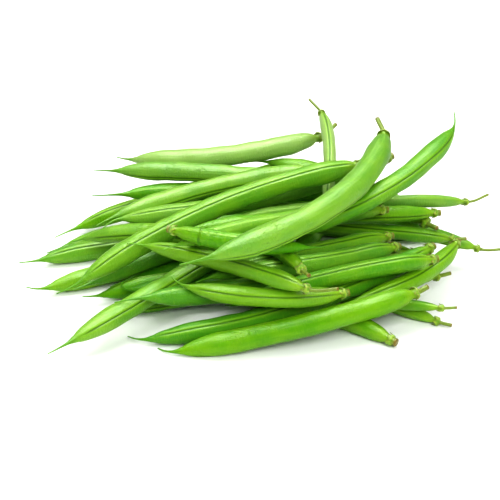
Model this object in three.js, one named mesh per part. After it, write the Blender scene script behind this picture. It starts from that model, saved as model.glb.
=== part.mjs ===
// A loose heap of fresh green beans, as tipped out on a table.
// Millimetres, +Z up, origin on the table under the middle of the heap. The viewer stands at -Y.
// Most pods lie along X, with the beak of the flower end at -X and the stalk at +X.
import * as THREE from 'three';

// Driving dimensions
const SIDES = 8; // sides of a pod's cross-section
const FLATS = 1.04; // corner radius over true radius, so that the section keeps its area
const CLEARANCE = 1; // distance that the settling keeps between two pods' skins
const CONTACT_SINK = 0.3; // how far a pod on the table is pressed flat
const SEED_SPACING = 13; // distance between two seeds in a pod
const SEED_SWELL = 0.025; // how much a seed swells the pod, as a share of its radius
const SAMPLE_STEP = 4; // distance between two points that stand for a pod while it settles
const FALLING_ROUNDS = 260; // rounds in which the pods fall and push each other aside
const CLEARING_ROUNDS = 120; // rounds that only push them apart
const FALL = 0.35; // how far a pod falls in the first round
const HOLD = 0.04; // how strongly a pod keeps to its place in plan, as a share for each round
const SPRING_BACK = 0.05; // how strongly a bent pod springs back, as a share for each round
const SUPPLENESS = 0.5; // how readily a pod bends, against how readily it moves
const MOST_BEND = 6; // how far its middle may be bent away from its grown shape

// Form of a pod, in millimetres along it or as shares of its full radius
const TAIL_SHOULDER = 20; // the body widens to its full radius over this length
const STEM_SHOULDER = 15; // and narrows to its neck over this length
const FULLNESS = 0.85; // below 1, a shoulder is fuller than a sine
const BEAK_TIP = 0.1; // radius of the tip of the beak
const BEAK_ROOT = 0.34; // radius where the beak leaves the body
const CALYX_RIM = 1.2; // how far past the body the rim of the calyx stands out
const CALYX_END = 2.6; // where the calyx has narrowed to the stalk
const PACE = 2; // length of a step along a curved beak or stalk

// How a stalk end is finished: the radius of neck, calyx rim and stalk as shares of the pod's,
// the stalk's length, and how far it turns sideways and up, in degrees
const stalkEnds = {
  cut: { neck: 0.46, rim: 0.54, stalk: 0.4, length: 4, turn: 0, lift: 0 },
  calyx: { neck: 0.42, rim: 0.58, stalk: 0.24, length: 8, turn: 12, lift: 8 },
  stalk: { neck: 0.38, rim: 0.54, stalk: 0.2, length: 15, turn: 35, lift: 20 },
};

// One row for each pod. Tail and stem are the ends of the pod's body when it is dropped.
// bow is how far its middle bends to the left of the way from tail to stem, arch how far upwards.
// beak is its length and how far it turns sideways and up, in degrees.
// A held pod keeps near its height, because its neighbours carry it; the others fall.
const pods = [
  { tail: [-69, -6, 5], stem: [36, 30, 5], size: 9.2, bow: 3, beak: [10, -30] },
  { tail: [-94, 2, 5], stem: [0, 50, 5], size: 9.2, bow: -4, beak: [12, -60] },
  { tail: [-101, 32, 5], stem: [14, 68, 5], size: 9.4, bow: 3, beak: [12, -15], end: 'calyx' },
  { tail: [0, 0, 5], stem: [60, -40, 5], size: 8.8, bow: 4, beak: [10, 20] },
  { tail: [12, 12, 5], stem: [82, -22, 5], size: 6.4, bow: 3, beak: [10, 0], end: 'calyx' },
  { tail: [-65, -3, 5], stem: [40, 12, 8], size: 8.4, bow: -3, beak: [12, 150] },
  { tail: [-60, 94, 5], stem: [62, 92, 5], size: 9, bow: 5, beak: [11, 20] },
  { tail: [-10, 70, 6], stem: [96, 58, 5], size: 9, bow: -5, beak: [11, 20] },
  { tail: [-73, -4, 8], stem: [15, 54, 10], size: 9, bow: 3, beak: [11, -10], held: true },
  { tail: [-94, 48, 12], stem: [20, 68, 14], size: 8.8, bow: 5, beak: [10, 10] },
  { tail: [20, -14, 13], stem: [85, -24, 11], size: 5, bow: 2, beak: [8, 10], end: 'calyx', held: true },
  { tail: [-10, -12, 12], stem: [88, -2, 15], size: 7.4, bow: -4, beak: [10, 20], end: 'calyx', held: true },
  { tail: [-31, -47, 5], stem: [74, -23, 15], size: 9.6, bow: -4, beak: [12, -60], end: 'calyx' },
  { tail: [-54, -6, 12], stem: [44, 18, 12], size: 8, bow: 3, beak: [12, -150] },
  { tail: [46, -22, 14], stem: [95, 20, 20], size: 8, bow: -3, beak: [10, 10], held: true },
  { tail: [-24, 24, 5], stem: [82, 34, 5], size: 7.6, bow: 3, beak: [10, 10] },
  { tail: [-44, -39, 5], stem: [85, 5, 22], size: 9, bow: -9, beak: [12, -50], held: true },
  { tail: [-2, -28, 14], stem: [84, -8, 20], size: 8.4, bow: -2, beak: [10, -60], held: true },
  { tail: [-57, 5, 18], stem: [50, 38, 18], size: 8.6, bow: 3, beak: [10, 20] },
  { tail: [-80, 32, 14], stem: [0, -2, 12], size: 8.8, bow: 4, beak: [10, 20], held: true },
  { tail: [-77, -50, 6], stem: [8, 44, 19], size: 9.4, bow: -4, beak: [13, -5], held: true },
  { tail: [-90, 68, 12], stem: [30, 84, 18], size: 8.8, bow: 5, beak: [14, 10] },
  { tail: [0, 46, 22], stem: [112, 32, 10], size: 6.4, bow: 6, beak: [10, 10], end: 'stalk', held: true },
  { tail: [-20, 28, 24], stem: [99, 30, 22], size: 7, bow: 3, beak: [10, 10], end: 'calyx', held: true },
  { tail: [-60, 66, 25], stem: [46, 74, 20], size: 9.2, bow: 4, beak: [18, 0], held: true },
  { tail: [-44, -33, 14], stem: [42, -12, 17], size: 9.4, bow: -2, beak: [15, -5, -15], held: true },
  { tail: [-6, -22, 29], stem: [66, 2, 25], size: 9.2, bow: -4, beak: [10, 10], held: true },
  { tail: [-63, 34, 26], stem: [69, 68, 36], size: 9, bow: -6, arch: -2, beak: [12, 50, -20], held: true },
  { tail: [-10, 18, 30], stem: [105, 44, 26], size: 6, bow: 3, beak: [10, 10], end: 'stalk', held: true },
  { tail: [-16, -24, 24], stem: [64, 18, 24], size: 8.4, bow: 2, beak: [10, 10], held: true },
  { tail: [-68, 78, 31], stem: [24, 69, 26], size: 9.2, bow: 1, beak: [14, -10], held: true },
  { tail: [40, 32, 28], stem: [38, 98, 50], size: 6.4, bow: -3, beak: [10, 10], end: 'stalk', held: true },
  { tail: [-64, 34, 26], stem: [32, 54, 34], size: 8.6, bow: 6, beak: [12, 20], held: true },
  { tail: [-25, 4, 34], stem: [88, 36, 28], size: 7.6, bow: 3, beak: [10, 10], held: true },
  { tail: [-27, -28, 25], stem: [40, -28, 22], size: 8.6, bow: -3, beak: [11, -40, 10], held: true },
  {
    tail: [-59, 90, 29], stem: [38, 99, 33], size: 9.8, bow: -10, arch: -4, beak: [12, -25],
    end: 'stalk', held: true,
  },
  { tail: [-8, 10, 28], stem: [21, -38, 28], size: 7.4, bow: 2, beak: [10, 10], end: 'calyx' },
  { tail: [-30, -22, 38], stem: [61, 16, 38], size: 8, bow: 3, beak: [10, 10], held: true },
  { tail: [98, 50, 66], stem: [16, -5, 40], size: 9.6, bow: 11, beak: [12, 40, 30], held: true },
  { tail: [-46, -9, 35], stem: [24, -43, 28], size: 8, bow: 3, beak: [10, 10], end: 'stalk', held: true },
  { tail: [-75, -15, 16], stem: [52, 38, 50], size: 10, bow: 8, arch: 2, beak: [14, -30], held: true },
  { tail: [24, -28, 38], stem: [-32, -18, 44], size: 8, bow: 4, beak: [10, 10], held: true },
  { tail: [-16, -44, 44], stem: [65, 48, 62], size: 11, bow: -18, beak: [15, -10], end: 'stalk', held: true },
  { tail: [-52, 84, 14], stem: [58, 78, 14], size: 9.2, bow: 4, beak: [12, 30] },
  { tail: [20, 14, 14], stem: [34, 98, 14], size: 9.2, bow: -4, beak: [12, 30] },
  { tail: [-44, 74, 15], stem: [60, 88, 15], size: 9.4, bow: 4, beak: [12, 30] },
  { tail: [8, 88, 24], stem: [80, 30, 22], size: 9.4, bow: 4, beak: [12, 30], end: 'calyx' },
];

const up = new THREE.Vector3(0, 0, 1);
const { clamp, degToRad, lerp } = THREE.MathUtils;

// The pod's radius at distance s from the body's tail end
function radiusAt({ size, length, beak, end }, s) {
  const full = size / 2;
  if (s <= 0) return full * lerp(BEAK_TIP, BEAK_ROOT, Math.max(0, 1 + s / beak.length));
  const past = s - length;
  if (past >= CALYX_RIM) {
    return full * lerp(end.rim, end.stalk, Math.min(1, (past - CALYX_RIM) / (CALYX_END - CALYX_RIM)));
  }
  if (past >= 0) return full * lerp(end.neck, end.rim, past / CALYX_RIM);
  const tailShoulder = Math.sin((Math.PI / 2) * Math.min(1, s / TAIL_SHOULDER));
  const stemShoulder = Math.sin((Math.PI / 2) * Math.min(1, -past / STEM_SHOULDER));
  const swell = 1 + SEED_SWELL * Math.cos((2 * Math.PI * s) / SEED_SPACING) * tailShoulder * stemShoulder;
  const fromTail = lerp(BEAK_ROOT, 1, tailShoulder ** FULLNESS);
  const fromStem = lerp(end.neck, 1, stemShoulder ** FULLNESS);
  return full * swell * Math.min(fromTail, fromStem);
}

// A pod as it is dropped: its two ends, and how far its middle stands off the line between them
function dropPod(row) {
  const tail = new THREE.Vector3(...row.tail);
  const stem = new THREE.Vector3(...row.stem);
  const chord = stem.clone().sub(tail);
  const left = new THREE.Vector3().crossVectors(up, chord).normalize();
  const bend = left.multiplyScalar(row.bow).addScaledVector(up, row.arch ?? 0);
  const [beakLength, turn, lift = 0] = row.beak;
  const pod = {
    size: row.size,
    held: row.held ?? false,
    length: chord.length(),
    beak: { length: beakLength, turn, lift },
    end: stalkEnds[row.end ?? 'cut'],
    places: [tail.clone(), stem.clone()],
    grownBend: bend.clone(),
    tail,
    stem,
    bend,
  };
  pod.samples = sampled(pod);
  return pod;
}

// The axis goes on past an end of the body, turning evenly sideways and up
function beyond(start, direction, { length, turn, lift }, distance) {
  const point = start.clone();
  const steps = Math.ceil(distance / PACE);
  const heading = Math.atan2(direction.y, direction.x);
  const rise = Math.asin(clamp(direction.z, -1, 1));
  for (let i = 0; i < steps; i += 1) {
    const share = ((i + 0.5) * distance) / steps / length;
    const side = heading + degToRad(turn) * share;
    const climb = rise + degToRad(lift) * share;
    const step = new THREE.Vector3(Math.cos(side), Math.sin(side), 0).multiplyScalar(Math.cos(climb));
    step.z = Math.sin(climb);
    point.addScaledVector(step, distance / steps);
  }
  return point;
}

// The point of a pod's axis at distance s from the body's tail end
function axisPoint(pod, s) {
  const chord = pod.stem.clone().sub(pod.tail);
  if (s < 0) {
    const out = chord.addScaledVector(pod.bend, 4).normalize().negate();
    return beyond(pod.tail, out, pod.beak, -s);
  }
  if (s > pod.length) {
    const out = chord.addScaledVector(pod.bend, -4).normalize();
    return beyond(pod.stem, out, pod.end, s - pod.length);
  }
  const share = s / pod.length;
  return pod.tail.clone().addScaledVector(chord, share).addScaledVector(pod.bend, 4 * share * (1 - share));
}

// The points that stand for a pod while it settles
function sampled(pod) {
  const whole = pod.beak.length + pod.length + pod.end.length;
  const count = Math.ceil(whole / SAMPLE_STEP);
  return Array.from({ length: count + 1 }, (_, i) => {
    const s = (i * whole) / count - pod.beak.length;
    return { point: axisPoint(pod, s), radius: radiusAt(pod, s), share: clamp(s / pod.length, 0, 1) };
  });
}

// Moves a pod so that its axis shifts by the given step at the given share of its length
function shift(pod, share, step) {
  const bendShare = 4 * share * (1 - share);
  const total = (1 - share) ** 2 + share ** 2 + SUPPLENESS * bendShare ** 2;
  pod.tail.addScaledVector(step, (1 - share) / total);
  pod.stem.addScaledVector(step, share / total);
  pod.bend.addScaledVector(step, (SUPPLENESS * bendShare) / total);
  pod.samples = sampled(pod);
}

// Where two pods reach furthest into each other, they push each other apart
function pushApart(first, second) {
  let deepest = 0;
  let meeting = null;
  for (const a of first.samples) {
    for (const b of second.samples) {
      const depth = a.radius + b.radius + CLEARANCE - a.point.distanceTo(b.point);
      if (depth > deepest) {
        deepest = depth;
        meeting = [a, b];
      }
    }
  }
  if (!meeting) return;
  const [a, b] = meeting;
  const step = a.point.clone().sub(b.point).setLength(deepest / 2);
  shift(first, a.share, step);
  shift(second, b.share, step.negate());
}

// No part of a pod is pressed further into the table than the contact sink
function keepAboveTable(pod) {
  for (const place of [0, 0.5, 1]) {
    const near = pod.samples.filter((sample) => Math.abs(sample.share - place) <= 0.25);
    const depths = near.map((sample) => sample.radius - CONTACT_SINK - sample.point.z);
    const worst = Math.max(...depths);
    if (worst > 0) shift(pod, near[depths.indexOf(worst)].share, new THREE.Vector3(0, 0, worst));
  }
}

// A pod falls unless it is held, springs back to its grown bend and keeps near its place
function fallAndSpring(pod, fall) {
  pod.bend.sub(pod.grownBend).multiplyScalar(1 - SPRING_BACK);
  pod.bend.clampLength(0, MOST_BEND).add(pod.grownBend);
  [pod.tail, pod.stem].forEach((end, i) => {
    const pull = pod.places[i].clone().sub(end).multiplyScalar(HOLD);
    if (!pod.held) pull.z = -fall;
    end.add(pull);
  });
}

// A pod keeps its length
function keepLength(pod) {
  const chord = pod.stem.clone().sub(pod.tail);
  const excess = (chord.length() - pod.length) / 2;
  chord.normalize().multiplyScalar(excess);
  pod.tail.add(chord);
  pod.stem.sub(chord);
  pod.samples = sampled(pod);
}

// The pods fall and push each other aside, ever more slowly, and last only push
function settleHeap(heaped) {
  for (let round = 0; round < FALLING_ROUNDS + CLEARING_ROUNDS; round += 1) {
    const fall = FALL * (1 - round / FALLING_ROUNDS);
    for (const pod of heaped) {
      if (fall > 0) fallAndSpring(pod, fall);
      keepLength(pod);
    }
    for (let i = 0; i < heaped.length; i += 1) {
      for (let j = i + 1; j < heaped.length; j += 1) pushApart(heaped[j], heaped[i]);
    }
    heaped.forEach(keepAboveTable);
  }
}

// Distances along the pod at which its surface has a ring of corners, closer where it narrows
function ringPlaces({ length, beak, end }) {
  const beakRings = [-1, -0.6, -0.25, 0].map((share) => share * beak.length);
  const tailRings = [0.25, 0.65].map((share) => share * TAIL_SHOULDER);
  const bodyRings = [0.28, 0.45, 0.62, 0.78].map((share) => share * length);
  const stemRings = [0.85, 0.25].map((share) => length - share * STEM_SHOULDER);
  const stalkRings = [0, CALYX_RIM, CALYX_END, end.length].map((past) => length + past);
  return [...beakRings, ...tailRings, ...bodyRings, ...stemRings, ...stalkRings];
}

// A straight pod is turned on a lathe along its own axis, then bent onto the settled one.
// What would reach below the table is pressed flat on it.
function podGeometry(pod) {
  const profile = ringPlaces(pod).map((s) => new THREE.Vector2(radiusAt(pod, s) * FLATS, s));
  profile.unshift(new THREE.Vector2(0, profile[0].y));
  profile.push(new THREE.Vector2(0, profile.at(-1).y));
  const geometry = new THREE.LatheGeometry(profile, SIDES, Math.PI / SIDES);
  const position = geometry.attributes.position;
  const vertex = new THREE.Vector3();
  for (let i = 0; i < position.count; i += 1) {
    vertex.fromBufferAttribute(position, i);
    const centre = axisPoint(pod, vertex.y);
    const ahead = axisPoint(pod, vertex.y + 1).sub(axisPoint(pod, vertex.y - 1)).normalize();
    const side = new THREE.Vector3().crossVectors(ahead, up).normalize();
    const top = new THREE.Vector3().crossVectors(side, ahead);
    centre.addScaledVector(side, vertex.x).addScaledVector(top, vertex.z);
    position.setXYZ(i, centre.x, centre.y, Math.max(0, centre.z));
  }
  geometry.computeVertexNormals();
  return geometry;
}

const heaped = pods.map(dropPod);
settleHeap(heaped);

const heap = new THREE.Group();
heaped.forEach((pod, index) => {
  const material = new THREE.MeshStandardMaterial({ color: 0x6fa92b, roughness: 0.45, metalness: 0 });
  const mesh = new THREE.Mesh(podGeometry(pod), material);
  mesh.name = `bean_${String(index + 1).padStart(2, '0')}`;
  heap.add(mesh);
});

// The origin comes under the middle of the heap
const middle = new THREE.Box3().setFromObject(heap).getCenter(new THREE.Vector3());
heap.position.set(-middle.x, -middle.y, 0);

export default heap;
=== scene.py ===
"""A loose heap of fresh green beans on a white table, seen from the front and a little above."""

import math

import bpy
import numpy as np
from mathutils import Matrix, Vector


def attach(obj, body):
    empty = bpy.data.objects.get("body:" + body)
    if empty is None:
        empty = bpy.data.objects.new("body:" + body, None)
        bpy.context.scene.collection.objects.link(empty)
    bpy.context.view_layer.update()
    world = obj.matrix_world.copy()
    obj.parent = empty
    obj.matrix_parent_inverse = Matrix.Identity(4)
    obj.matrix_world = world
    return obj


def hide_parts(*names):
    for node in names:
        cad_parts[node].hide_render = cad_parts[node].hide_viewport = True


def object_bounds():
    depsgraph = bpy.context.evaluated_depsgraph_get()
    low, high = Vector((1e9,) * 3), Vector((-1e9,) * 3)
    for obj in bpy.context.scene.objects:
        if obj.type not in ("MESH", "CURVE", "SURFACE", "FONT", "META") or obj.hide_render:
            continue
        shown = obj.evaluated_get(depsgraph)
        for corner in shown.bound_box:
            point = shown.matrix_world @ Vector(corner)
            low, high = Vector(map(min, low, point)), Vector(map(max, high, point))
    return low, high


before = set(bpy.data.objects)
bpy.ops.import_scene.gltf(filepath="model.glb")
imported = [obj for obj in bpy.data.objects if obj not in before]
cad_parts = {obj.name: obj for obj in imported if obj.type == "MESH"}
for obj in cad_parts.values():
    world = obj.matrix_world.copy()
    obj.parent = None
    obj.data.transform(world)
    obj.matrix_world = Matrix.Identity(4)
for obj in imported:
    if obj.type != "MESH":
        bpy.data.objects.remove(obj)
cad_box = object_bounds()
box_low, box_high = (np.array(corner) for corner in cad_box)

MM = 0.001  # the frame is in metres, a bean's details are given in millimetres
SEED = 7
CAMERA_TARGET = (0.4749, 0.3433, 0.3696)  # as shares of the heap's box along x, y and z
CAMERA_ELEVATION = 28  # degrees
CAMERA_DISTANCE = 0.56
CAMERA_LENS = 86.7

# Rings of corners on a bean of the frame, counted from the tip of the beak
RING_BODY = 3  # where the beak leaves the body
RING_STEM = 12  # where the body ends at the calyx
RING_RIM = 13  # the rim of the calyx
RING_STALK = 14  # where the calyx has narrowed to the stalk

SIDES = 48  # corners round a section of the fine skin
SEAM_CROWDING = 0.42  # how far those corners crowd towards the two seams, below 0.5
SKIN_STEP = 1.5 * MM  # distance between two rows of corners along the body
SHOULDER_STEP = 0.7 * MM  # and where the body narrows
BEAK_ROWS = 16
TAIL_LENGTH = 18 * MM  # the body widens from the beak over this length
STEM_LENGTH = 14 * MM  # and narrows to its neck over this length
STEM_ROWS = 20
STALK_ROWS = 14
OVALITY = 0.02  # how much deeper than wide a bean is, as a share of its radius
BEAK_FORM = (0.05, 0.07, 0.17)  # shares of the full radius at the tip, added evenly, added at the root

GROOVE_DEPTH = 0.24 * MM  # the seam on the back of a bean is a fine groove between two low ridges
GROOVE_WIDTH = 0.36 * MM
RIDGE_HEIGHT = 0.16 * MM
RIDGE_PLACE = 1.0 * MM
RIDGE_WIDTH = 0.5 * MM
KEEL_HEIGHT = 0.16 * MM  # the seam on its belly is a low keel
KEEL_WIDTH = 0.6 * MM

CALYX_COLUMNS = 40
CALYX_ROWS = 7  # from the stalk to the edge, on each face of the cup
CALYX_WALL = 0.3 * MM
CALYX_LOBE = 1.5 * MM  # how far a lobe reaches past the cup

# Which way the back seam faces, in degrees up from the viewer's side, for the beans whose seam shows
SEAM_TURNS = {
    "bean_03": 55,
    "bean_08": 40,
    "bean_12": 50,
    "bean_13": -70,
    "bean_15": 52,
    "bean_16": 55,
    "bean_17": 52,
    "bean_18": 60,
    "bean_21": 32,
    "bean_24": 38,
    "bean_26": -110,
    "bean_27": 62,
    "bean_28": 58,
    "bean_30": 60,
    "bean_33": -8,
    "bean_35": 30,
    "bean_31": -20,
    "bean_36": 120,
    "bean_39": 148,
    "bean_40": 55,
    "bean_41": 52,
    "bean_42": -60,
    "bean_43": -22,
}
# How bright a bean's green is, from 0 for the deepest; the others' is drawn at random
TONES = {
    "bean_06": 0.1,
    "bean_09": 0.2,
    "bean_13": 0.6,
    "bean_14": 0.0,
    "bean_17": 0.1,
    "bean_18": 0.4,
    "bean_19": 0.1,
    "bean_26": 0.15,
    "bean_39": 0.4,
    "bean_41": 0.65,
    "bean_43": 0.5,
}
# Beans that are paler and whiter than the others, as a share: for the listed beans this is painted haze
# of light, the others get a small random paleness of their own
PALE_AND_HAZED_BEANS = {
    "bean_31": 0.3,
    "bean_36": 0.75,
    "bean_32": 0.9,
    "bean_16": 0.4,
    "bean_28": 0.3,
    "bean_29": 0.4,
    "bean_33": 0.3,
    "bean_43": 0.25,
}


def smoothstep(value, start, end):
    """0 before start, 1 past end, and 3t^2 - 2t^3 between them."""
    t = np.clip((value - start) / (end - start), 0.0, 1.0)
    return t * t * (3.0 - 2.0 * t)


def through(knots, values, where):
    """A smooth curve through values at knots: cubic pieces whose slope at a knot is that of the
    parabola through it and its two neighbours."""
    values = values.reshape(len(knots), -1)
    gaps = np.diff(knots)[:, None]
    slopes = np.diff(values, axis=0) / gaps
    inner = (slopes[:-1] * gaps[1:] + slopes[1:] * gaps[:-1]) / (gaps[:-1] + gaps[1:])
    tangents = np.concatenate([slopes[:1], inner, slopes[-1:]])
    piece = np.clip(np.searchsorted(knots, where) - 1, 0, len(knots) - 2)
    gap = gaps[piece]
    t = ((where - knots[piece])[:, None]) / gap
    start, end = values[piece], values[piece + 1]
    leave, reach = tangents[piece] * gap, tangents[piece + 1] * gap
    return (
        start * (2 * t**3 - 3 * t**2 + 1)
        + leave * (t**3 - 2 * t**2 + t)
        + end * (3 * t**2 - 2 * t**3)
        + reach * (t**3 - t**2)
    )


def bean_rings(name):
    """Middle and radius of each ring of corners of a bean in the frame, from the beak to the stalk.
    The corner where eight faces meet is an end of the bean. The rings follow from it: each next one
    holds the corners that share a face with the ring before."""
    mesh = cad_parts[name].data
    loose = np.zeros(len(mesh.vertices) * 3, np.float32)
    mesh.vertices.foreach_get("co", loose)
    corners, index = np.unique(np.round(loose.reshape(-1, 3), 7), axis=0, return_inverse=True)
    faces = index.reshape(-1, 3)
    level = np.full(len(corners), -1)
    level[np.argmax(np.bincount(faces.ravel()))] = 0
    for step in range(len(corners)):
        touched = faces[(level[faces] == step).any(axis=1)].ravel()
        fresh = touched[level[touched] < 0]
        if len(fresh) == 0:
            break
        level[fresh] = step + 1
    rings = [corners[level == step] for step in range(1, level.max())]
    middles = np.array([ring.mean(axis=0) for ring in rings])
    radii = np.array([np.linalg.norm(ring - ring.mean(axis=0), axis=1).mean() for ring in rings])
    if radii[0] > radii[-1]:
        return middles[::-1], radii[::-1]
    return middles, radii


class Bean:
    """One bean of the frame: its axis and its radius as smooth functions of the distance s along it."""

    def __init__(self, name):
        self.name = name
        self.middles, self.radii = bean_rings(name)
        steps = np.linalg.norm(np.diff(self.middles, axis=0), axis=1)
        self.knots = np.concatenate([[0.0], np.cumsum(steps)])
        self.knots -= self.knots[RING_BODY]
        self.tip = self.knots[0]
        self.neck = self.knots[RING_STEM]
        self.end = self.knots[-1]
        self.full = self.radii[RING_BODY:RING_STEM].max()
        self.random = np.random.default_rng([SEED, int(name[-2:])])
        self.turn = math.radians(SEAM_TURNS.get(name, self.random.uniform(-180, 180)))
        # the pale share is painted whitish haze of light for the listed beans, and a small paleness of
        # its own for the others
        self.pale = PALE_AND_HAZED_BEANS.get(name, self.random.uniform(0.0, 0.2))
        self.tone = TONES.get(name, self.random.uniform(0.3, 1.0))

    def axis(self, s):
        """Points of the axis, and the directions ahead, aside and upwards there."""
        centre = through(self.knots, self.middles, s)
        reach = 0.4 * MM
        low = np.clip(s - reach, self.knots[0], self.knots[-1])
        high = np.clip(s + reach, self.knots[0], self.knots[-1])
        ahead = through(self.knots, self.middles, high) - through(self.knots, self.middles, low)
        ahead /= np.linalg.norm(ahead, axis=1, keepdims=True)
        side = np.cross(ahead, [0.0, 0.0, 1.0])
        side /= np.linalg.norm(side, axis=1, keepdims=True)
        return centre, ahead, side, np.cross(side, ahead)

    def radius(self, s):
        """Radius of the smooth bean, with straight flanks past the body. The beak is thinner than the
        frame's and ends in a fine tip."""
        smooth = through(self.knots, self.radii, s)[:, 0]
        body = np.where(s < self.neck, smooth, np.interp(s, self.knots, self.radii))
        share = np.clip((s - self.tip) / (0.0 - self.tip), 0.0, 1.0)
        beak = self.full * (BEAK_FORM[0] + BEAK_FORM[1] * share + BEAK_FORM[2] * share**5)
        blend = smoothstep(s, -1.0 * MM, 3.0 * MM)
        return beak * (1.0 - blend) + body * blend


def rows_along(bean):
    """Distances of the rows of corners, close together where the bean narrows or curls."""
    beak = np.linspace(bean.tip, 0.0, BEAK_ROWS, endpoint=False)
    tail = np.arange(0.0, TAIL_LENGTH, SHOULDER_STEP)
    body = np.arange(TAIL_LENGTH, bean.neck - STEM_LENGTH, SKIN_STEP)
    stem = np.linspace(bean.neck - STEM_LENGTH, bean.neck, STEM_ROWS, endpoint=False)
    stalk = np.linspace(bean.neck, bean.end, STALK_ROWS)
    return np.concatenate([beak, tail, body, stem, stalk])


def seam_relief(bean, s, turn, radius):
    """Height of the seams over the skin, for each row s and each angle turn from the back seam.
    Across the back seam it is two bells, one each side, less a narrower bell between them, and
    across the belly one bell with a hairline in it. Both fade at the ends of the body."""
    back = np.abs(turn)[None, :] * radius[:, None]
    belly = np.abs(np.abs(turn) - math.pi)[None, :] * radius[:, None]
    ridges = RIDGE_HEIGHT * np.exp(-(((back - RIDGE_PLACE) / RIDGE_WIDTH) ** 2))
    groove = GROOVE_DEPTH * np.exp(-((back / GROOVE_WIDTH) ** 2))
    keel = KEEL_HEIGHT * np.exp(-((belly / KEEL_WIDTH) ** 2))
    hairline = 0.6 * KEEL_HEIGHT * np.exp(-((belly / (0.3 * KEEL_WIDTH)) ** 2))
    fade = smoothstep(s, 1.0 * MM, 9.0 * MM)
    fade *= 1.0 - smoothstep(s, bean.neck - 7.0 * MM, bean.neck - 1.0 * MM)
    return (ridges - groove + keel - hairline) * fade[:, None]


def seed_relief(bean, s, turn):
    """Swelling over the seeds, strongest on the two flat sides: a wave along the bean whose length
    and height wander a little, times the square of the sine of the angle."""
    spacing = 11.5 * MM * bean.random.uniform(0.9, 1.15)
    start = bean.random.uniform(0, 2 * math.pi)
    wander = 0.6 * np.sin(s / (23 * MM) + start)
    wave = np.cos(2 * math.pi * s / spacing + start + wander)
    height = bean.full * (0.016 + 0.012 * np.sin(s / (31 * MM) + 2 * start))
    inside = smoothstep(s, 8 * MM, 20 * MM)
    inside *= 1.0 - smoothstep(s, bean.neck - 20 * MM, bean.neck - 8 * MM)
    return (height * wave * inside)[:, None] * (0.35 + 0.65 * np.sin(turn)[None, :] ** 2)


def lump_relief(bean, s, turn):
    """Small unevenness of a grown thing: three slow waves that run slantwise over the skin."""
    relief = np.zeros((len(s), len(turn)))
    for _ in range(3):
        length = bean.random.uniform(14, 40) * MM
        lobes = bean.random.integers(1, 3)
        phase = bean.random.uniform(0, 2 * math.pi)
        relief += np.cos(2 * math.pi * s[:, None] / length + lobes * turn[None, :] + phase)
    inside = smoothstep(s, 2 * MM, 14 * MM) * (1.0 - smoothstep(s, bean.neck - 12 * MM, bean.neck))
    return 0.012 * bean.full * relief * inside[:, None]


def grid_faces(rows, columns, closed_rows=False):
    """Corner numbers of the four-sided faces of a grid that closes on itself round its columns."""
    row = np.arange(rows if closed_rows else rows - 1)[:, None]
    column = np.arange(columns)[None, :]
    beside = (column + 1) % columns
    below = (row + 1) % rows
    corners = [
        row * columns + column,
        below * columns + column,
        below * columns + beside,
        row * columns + beside,
    ]
    return np.stack(np.broadcast_arrays(*corners), axis=-1).reshape(-1, 4)


def cap_faces(start, columns, pole, outwards):
    """Triangles from one row of corners to a pole."""
    column = np.arange(columns)
    beside = (column + 1) % columns
    ring = [start + column, start + beside]
    if not outwards:
        ring.reverse()
    return np.stack([np.full(columns, pole), ring[0], ring[1]], axis=-1)


def skin_surface(bean):
    """The skin: at distance s and angle a from the back seam, the point is the axis point plus
    radius(s) times (1 + OVALITY cos 2a) plus the reliefs, outwards at that angle. What would reach
    below the table is pressed flat on it."""
    s = rows_along(bean)
    even = np.linspace(-math.pi, math.pi, SIDES, endpoint=False)
    turn = even - SEAM_CROWDING * np.sin(2 * even)
    centre, _, side, top = bean.axis(s)
    radius = bean.radius(s)
    oval = 1.0 + OVALITY * np.cos(2 * turn)[None, :] * smoothstep(s, 0.0, 12 * MM)[:, None]
    reach = radius[:, None] * oval + seam_relief(bean, s, turn, radius)
    reach += seed_relief(bean, s, turn) + lump_relief(bean, s, turn)
    angle = turn + bean.turn
    outwards = (
        side[:, None, :] * np.cos(angle)[None, :, None] + top[:, None, :] * np.sin(angle)[None, :, None]
    )
    points = (centre[:, None, :] + outwards * reach[:, :, None]).reshape(-1, 3)
    points = np.concatenate([points, centre[:1], centre[-1:]])
    points = np.clip(points, box_low, box_high)
    count = len(s) * SIDES
    faces = [
        grid_faces(len(s), SIDES),
        cap_faces(0, SIDES, count, True),
        cap_faces(count - SIDES, SIDES, count + 1, False),
    ]
    back = np.abs(turn)[None, :] * radius[:, None]
    belly = np.abs(np.abs(turn) - math.pi)[None, :] * radius[:, None]
    values = {
        "from_tail": np.append(np.repeat(s, SIDES), [s[0], s[-1]]),
        "from_seam": np.append(back.ravel(), [0.0, 0.0]),
        "from_keel": np.append(belly.ravel(), [0.0, 0.0]),
        "flat_x": np.append((reach * np.cos(turn)).ravel(), [0.0, 0.0]),
        "flat_y": np.append((reach * np.sin(turn)).ravel(), [0.0, 0.0]),
    }
    return points, faces, values


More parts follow.
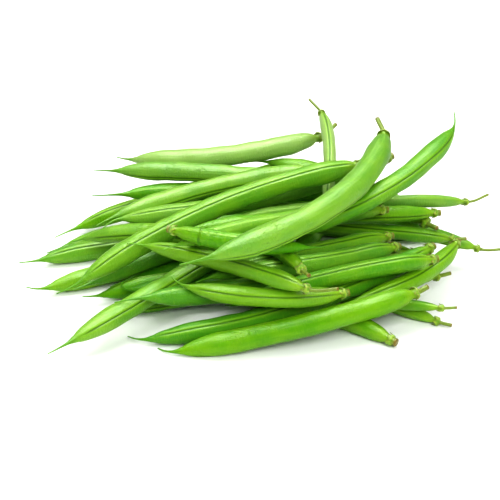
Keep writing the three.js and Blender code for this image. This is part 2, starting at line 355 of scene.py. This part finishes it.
def calyx_surface(bean):
    """The calyx: a thin cup round the neck with a ragged edge of five lobes. Along its section it
    runs from the stalk out to the edge and back inside, and the edge reaches further over the bean
    where the fifth wave round the neck is high."""
    round_neck = np.linspace(0, 2 * math.pi, CALYX_COLUMNS, endpoint=False)
    start = bean.random.uniform(0, 2 * math.pi)
    lobes = 0.5 + 0.5 * np.cos(5 * round_neck + start)
    ragged = 1.0 + 0.25 * np.sin(3 * round_neck + 2 * start) + 0.15 * np.sin(11 * round_neck)
    edge = 0.4 * MM + CALYX_LOBE * lobes**1.6 * ragged
    rim = bean.radii[RING_RIM]
    share = np.linspace(0, 1, CALYX_ROWS)[:, None]
    back_from = bean.knots[RING_STALK] - 0.2 * MM
    far = back_from - bean.knots[RING_RIM] + edge[None, :]
    s_out = back_from - share * far
    lift = 0.15 * MM + 0.3 * MM * share**3 * lobes[None, :]
    shoulder = bean.radius(s_out.ravel()).reshape(s_out.shape)
    stalk = bean.radii[RING_STALK]
    cup = stalk + (rim - stalk) * (share / 0.35)
    r_out = np.where(share < 0.35, cup, np.maximum(rim, shoulder)) + lift
    s_all = np.concatenate([s_out, s_out[::-1] + 0.05 * MM])
    r_all = np.concatenate([r_out, r_out[::-1] - CALYX_WALL])
    rows = 2 * CALYX_ROWS
    centre, _, side, top = bean.axis(s_all.ravel())
    angle = np.tile(round_neck, rows)[:, None]
    points = centre + (side * np.cos(angle) + top * np.sin(angle)) * r_all.reshape(-1, 1)
    points = np.clip(points, box_low, box_high)
    faces = [grid_faces(rows, CALYX_COLUMNS, closed_rows=True)[:, ::-1]]
    across = np.tile(np.concatenate([share, share[::-1]]), (1, CALYX_COLUMNS)).ravel()
    values = {
        "from_tail": s_all.ravel(),
        "from_seam": across * 5 * MM,
        "from_keel": across * 5 * MM,
        "flat_x": points[:, 0],
        "flat_y": points[:, 1],
    }
    return points, faces, values


def make_piece(name, surfaces, materials, constants):
    """One mesh from several surfaces, each with its material and its values at every corner."""
    points = np.concatenate([surface[0] for surface in surfaces])
    offset = 0
    loops, sizes, slots = [], [], []
    for slot, (corners, faces, _) in enumerate(surfaces):
        for block in faces:
            loops.append((block + offset).ravel())
            sizes.append(np.full(len(block), block.shape[1]))
            slots.append(np.full(len(block), slot))
        offset += len(corners)
    loops, sizes, slots = np.concatenate(loops), np.concatenate(sizes), np.concatenate(slots)
    mesh = bpy.data.meshes.new(name)
    mesh.vertices.add(len(points))
    mesh.vertices.foreach_set("co", points.astype(np.float32).ravel())
    mesh.loops.add(len(loops))
    mesh.loops.foreach_set("vertex_index", loops.astype(np.int32))
    mesh.polygons.add(len(sizes))
    mesh.polygons.foreach_set("loop_start", (np.cumsum(sizes) - sizes).astype(np.int32))
    mesh.polygons.foreach_set("material_index", slots.astype(np.int32))
    mesh.polygons.foreach_set("use_smooth", np.ones(len(sizes), bool))
    mesh.update(calc_edges=True)
    for key in surfaces[0][2]:
        layer = mesh.attributes.new(key, "FLOAT", "POINT")
        layer.data.foreach_set("value", np.concatenate([s[2][key] for s in surfaces]).astype(np.float32))
    for key, value in constants.items():
        layer = mesh.attributes.new(key, "FLOAT", "POINT")
        layer.data.foreach_set("value", np.full(len(points), value, np.float32))
    for material in materials:
        mesh.materials.append(material)
    piece = bpy.data.objects.new(name, mesh)
    bpy.context.scene.collection.objects.link(piece)
    return piece


class Nodes:
    """Short calls for the nodes of one material."""

    def __init__(self, name):
        self.material = bpy.data.materials.new(name)
        self.material.use_nodes = True
        self.tree = self.material.node_tree
        self.shader = self.tree.nodes["Principled BSDF"]

    def add(self, kind, inputs=(), **settings):
        node = self.tree.nodes.new(kind)
        for key, value in settings.items():
            setattr(node, key, value)
        for socket, value in dict(inputs).items():
            self.put(node.inputs[socket], value)
        return node

    def put(self, socket, value):
        if isinstance(value, bpy.types.NodeSocket):
            self.tree.links.new(value, socket)
        else:
            socket.default_value = value

    def attribute(self, name):
        return self.add("ShaderNodeAttribute", attribute_name=name).outputs["Fac"]

    def math(self, operation, first, second=0.0):
        return self.add("ShaderNodeMath", {0: first, 1: second}, operation=operation).outputs[0]

    def between(self, value, start, end, low=0.0, high=1.0):
        """low before start, high past end and a soft step between them."""
        inputs = {"Value": value, "From Min": start, "From Max": end, "To Min": low, "To Max": high}
        node = self.add("ShaderNodeMapRange", inputs, interpolation_type="SMOOTHSTEP")
        return node.outputs["Result"]

    def noise(self, vector, scale, detail=2.0, roughness=0.5):
        inputs = {"Vector": vector, "Scale": scale, "Detail": detail, "Roughness": roughness}
        return self.add("ShaderNodeTexNoise", inputs).outputs["Fac"]

    def mix(self, share, first, second):
        """first where share is 0, second where it is 1."""
        node = self.add("ShaderNodeMix", data_type="RGBA")
        self.put(node.inputs[0], share)
        self.put(node.inputs[6], first if isinstance(first, bpy.types.NodeSocket) else (*first, 1.0))
        self.put(node.inputs[7], second if isinstance(second, bpy.types.NodeSocket) else (*second, 1.0))
        return node.outputs[2]

    def stretched(self, along):
        """The bean's own straightened coordinates, shortened along its length by a factor."""
        s = self.math("MULTIPLY", self.attribute("from_tail"), along)
        offset = self.math("ADD", s, self.attribute("bean_offset"))
        inputs = {"X": self.attribute("flat_x"), "Y": self.attribute("flat_y"), "Z": offset}
        return self.add("ShaderNodeCombineXYZ", inputs).outputs[0]

    def bump(self, height, distance, strength=1.0):
        inputs = {"Height": height, "Distance": distance, "Strength": strength}
        return self.add("ShaderNodeBump", inputs).outputs["Normal"]


DEEP_GREEN = (0.064, 0.285, 0.0004)
BRIGHT_GREEN = (0.175, 0.395, 0.0006)
YELLOW_GREEN = (0.270, 0.470, 0.008)
# The next whitish green is painted haze of light; the dark seam green after it is painted shade in the
# seam's groove
PALE_HAZE_GREEN = (0.350, 0.510, 0.170)
SEAM_GROOVE_SHADE = (0.025, 0.110, 0.001)
SEAM_LIGHT = (0.250, 0.470, 0.020)
NECK_GREEN = (0.300, 0.470, 0.030)
BEAK_GREEN = (0.090, 0.270, 0.004)
STALK_GREEN = (0.190, 0.240, 0.045)
BARK_DARK = (0.130, 0.085, 0.014)
BARK_LIGHT = (0.350, 0.290, 0.070)
LEAF_DARK = (0.150, 0.320, 0.010)
LEAF_LIGHT = (0.330, 0.450, 0.050)
LEAF_DRY = (0.240, 0.180, 0.035)


def skin_material():
    """Satin green skin: slow patches, fine streaks along the bean and fibres across it, small wet
    beads, a painted whitish haze of light over some beans, light ridges and painted shade in the groove
    at the seam, a yellower neck and a darker beak."""
    n = Nodes("bean_skin")
    patches = n.noise(n.stretched(0.6), 110, detail=3.0)
    streaks = n.noise(n.stretched(0.07), 900, detail=3.0, roughness=0.6)
    fibres = n.noise(n.stretched(3.5), 420, detail=3.0, roughness=0.6)
    speckle = n.noise(n.stretched(1.0), 2600, detail=2.0)
    tone = n.math("ADD", n.attribute("tone"), n.between(patches, 0.3, 0.7, -0.25, 0.25))
    colour = n.mix(n.between(tone, 0.0, 1.0), DEEP_GREEN, BRIGHT_GREEN)
    colour = n.mix(n.between(streaks, 0.45, 0.75, 0.0, 0.2), colour, YELLOW_GREEN)
    colour = n.mix(n.between(fibres, 0.5, 0.75, 0.0, 0.35), colour, YELLOW_GREEN)
    # painted haze of light: whitens the listed beans towards a whitish green
    colour = n.mix(n.attribute("pale"), colour, PALE_HAZE_GREEN)
    colour = n.mix(n.between(speckle, 0.62, 0.8, 0.0, 0.3), colour, YELLOW_GREEN)
    seam = n.attribute("from_seam")
    tail = n.attribute("from_tail")
    on_body = n.between(tail, 1 * MM, 9 * MM)
    ridge = n.between(seam, 1.9 * MM, 0.7 * MM, 0.0, 0.5)
    colour = n.mix(n.math("MULTIPLY", ridge, on_body), colour, SEAM_LIGHT)
    # painted shade along the seam's groove
    groove = n.between(seam, 0.7 * MM, 0.1 * MM, 0.0, 0.7)
    colour = n.mix(n.math("MULTIPLY", groove, on_body), colour, SEAM_GROOVE_SHADE)
    keel = n.between(n.attribute("from_keel"), 0.8 * MM, 0.1 * MM, 0.0, 0.5)
    colour = n.mix(n.math("MULTIPLY", keel, on_body), colour, SEAM_LIGHT)
    neck = n.attribute("from_neck")
    colour = n.mix(n.between(neck, 9 * MM, 0.0, 0.0, 0.5), colour, NECK_GREEN)
    colour = n.mix(n.between(tail, 2 * MM, -3 * MM, 0.0, 0.6), colour, BEAK_GREEN)
    colour = n.mix(n.between(neck, -1.8 * MM, -2.6 * MM, 0.0, 0.8), colour, STALK_GREEN)
    cut = n.between(n.attribute("from_cut"), 1.0 * MM, 0.1 * MM)
    bark = n.mix(speckle, BARK_DARK, BARK_LIGHT)
    colour = n.mix(cut, colour, bark)
    n.put(n.shader.inputs["Base Color"], colour)
    n.put(n.shader.inputs["Roughness"], n.between(streaks, 0.3, 0.75, 0.36, 0.5))
    beads = n.between(n.noise(n.stretched(1.0), 1300, detail=1.0), 0.6, 0.72)
    wet = n.between(n.noise(n.stretched(1.0), 90, detail=2.0), 0.5, 0.62)
    height = n.math("ADD", n.math("ADD", streaks, fibres), n.math("MULTIPLY", beads, wet))
    n.put(n.shader.inputs["Normal"], n.bump(height, 0.3 * MM, 0.8))
    n.put(n.shader.inputs["Subsurface Weight"], 0.15)
    n.put(n.shader.inputs["Subsurface Radius"], (0.6, 1.0, 0.15))
    n.put(n.shader.inputs["Subsurface Scale"], 2.0 * MM)
    n.put(n.shader.inputs["Specular IOR Level"], 0.36)
    n.put(n.shader.inputs["Sheen Weight"], 0.04)
    n.put(n.shader.inputs["Sheen Roughness"], 0.35)
    n.put(n.shader.inputs["Sheen Tint"], (0.85, 1.0, 0.7, 1.0))
    return n.material


def calyx_material():
    """Thin, slightly dry leaf: pale yellow-green with veins, browner towards its ragged edge."""
    n = Nodes("bean_calyx")
    coords = n.add("ShaderNodeTexCoord").outputs["Object"]
    mottle = n.noise(coords, 900, detail=3.0)
    colour = n.mix(n.between(mottle, 0.35, 0.65), LEAF_DARK, LEAF_LIGHT)
    edge = n.between(n.attribute("from_seam"), 3.4 * MM, 5.0 * MM, 0.0, 0.75)
    edge = n.math("MULTIPLY", edge, n.between(mottle, 0.4, 0.6, 0.4, 1.0))
    colour = n.mix(edge, colour, LEAF_DRY)
    n.put(n.shader.inputs["Base Color"], colour)
    n.put(n.shader.inputs["Roughness"], 0.6)
    n.put(n.shader.inputs["Normal"], n.bump(mottle, 0.2 * MM, 0.7))
    n.put(n.shader.inputs["Sheen Weight"], 0.2)
    return n.material


def floor_material():
    """Plain white table top, with a hardly visible unevenness."""
    n = Nodes("white_table")
    coords = n.add("ShaderNodeTexCoord").outputs["Object"]
    grain = n.noise(coords, 40, detail=2.0)
    n.put(n.shader.inputs["Base Color"], n.mix(grain, (0.90, 0.90, 0.90), (0.93, 0.93, 0.93)))
    n.put(n.shader.inputs["Roughness"], 0.55)
    n.put(n.shader.inputs["Specular IOR Level"], 0.2)
    return n.material


def make_floor():
    """A wide flat square just under the heap."""
    half = 8.0
    depth = -0.05 * MM
    corners = [(-half, -half, depth), (half, -half, depth), (half, half, depth), (-half, half, depth)]
    mesh = bpy.data.meshes.new("table_top")
    mesh.from_pydata(corners, [], [(0, 1, 2, 3)])
    mesh.materials.append(floor_material())
    floor = bpy.data.objects.new("table_top", mesh)
    bpy.context.scene.collection.objects.link(floor)


def aim(thing, place, target):
    """Puts a camera or lamp at a place, with its -Z towards the target and its Y upwards."""
    away = np.array(place) - np.array(target)
    away /= np.linalg.norm(away)
    right = np.cross([0.0, 0.0, 1.0], away)
    right /= np.linalg.norm(right)
    over = np.cross(away, right)
    matrix = np.eye(4)
    matrix[:3, 0], matrix[:3, 1], matrix[:3, 2], matrix[:3, 3] = right, over, away, place
    thing.matrix_world = matrix.T.tolist()


def make_camera():
    """The photograph's view: a long lens, level with the middle of the heap and 28 degrees up."""
    elevation = math.radians(CAMERA_ELEVATION)
    target = box_low + (box_high - box_low) * CAMERA_TARGET
    camera = bpy.data.objects.new("camera", bpy.data.cameras.new("camera"))
    camera.data.lens = CAMERA_LENS
    camera.data.clip_start = 0.01
    bpy.context.scene.collection.objects.link(camera)
    offset = np.array([0.0, -math.cos(elevation), math.sin(elevation)]) * CAMERA_DISTANCE
    aim(camera, target + offset, target)
    bpy.context.scene.camera = camera


def make_light(name, place, size, power):
    """A square soft lamp that points at the heap."""
    lamp = bpy.data.lights.new(name, "AREA")
    lamp.shape = "SQUARE"
    lamp.size = size
    lamp.energy = power
    light = bpy.data.objects.new(name, lamp)
    bpy.context.scene.collection.objects.link(light)
    aim(light, place, (0.0, 0.0, 0.02))
    return light


def make_studio():
    """White surroundings, a soft lamp over and behind the heap, a bright ceiling and a weaker lamp
    in front that leave no highlights, and a panel overhead that makes only highlights."""
    world = bpy.data.worlds.new("white_studio")
    world.use_nodes = True
    background = world.node_tree.nodes["Background"]
    background.inputs["Color"].default_value = (1.0, 1.0, 1.0, 1.0)
    background.inputs["Strength"].default_value = 0.03
    bpy.context.scene.world = world
    make_light("top_softbox", (-0.2, 0.4, 1.1), 0.9, 8.5)
    ceiling = make_light("bright_ceiling", (0.0, 0.1, 4.0), 14.0, 335.0)
    ceiling.visible_glossy = False
    fill = make_light("front_fill", (0.3, -1.0, 1.0), 1.0, 12.5)
    fill.visible_glossy = False
    panel = make_light("highlight_panel", (0.0, 0.05, 1.1), 0.9, 28.0)
    panel.visible_diffuse = False
    bpy.context.scene.view_settings.view_transform = "Standard"
    bpy.context.scene.view_settings.look = "High Contrast"


skin = skin_material()
calyx = calyx_material()
for number, node in enumerate(sorted(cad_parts)):
    bean = Bean(node)
    body = skin_surface(bean)
    cup = calyx_surface(bean)
    for _, _, values in (body, cup):
        values["from_neck"] = bean.neck - values["from_tail"]
        values["from_cut"] = bean.end - values["from_tail"]
    constants = {"tone": bean.tone, "pale": bean.pale, "bean_offset": 0.07 * number}
    piece = make_piece(node.replace("bean", "pod"), [body, cup], [skin, calyx], constants)
    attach(piece, "root")
    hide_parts(node)

make_floor()
make_studio()
make_camera()
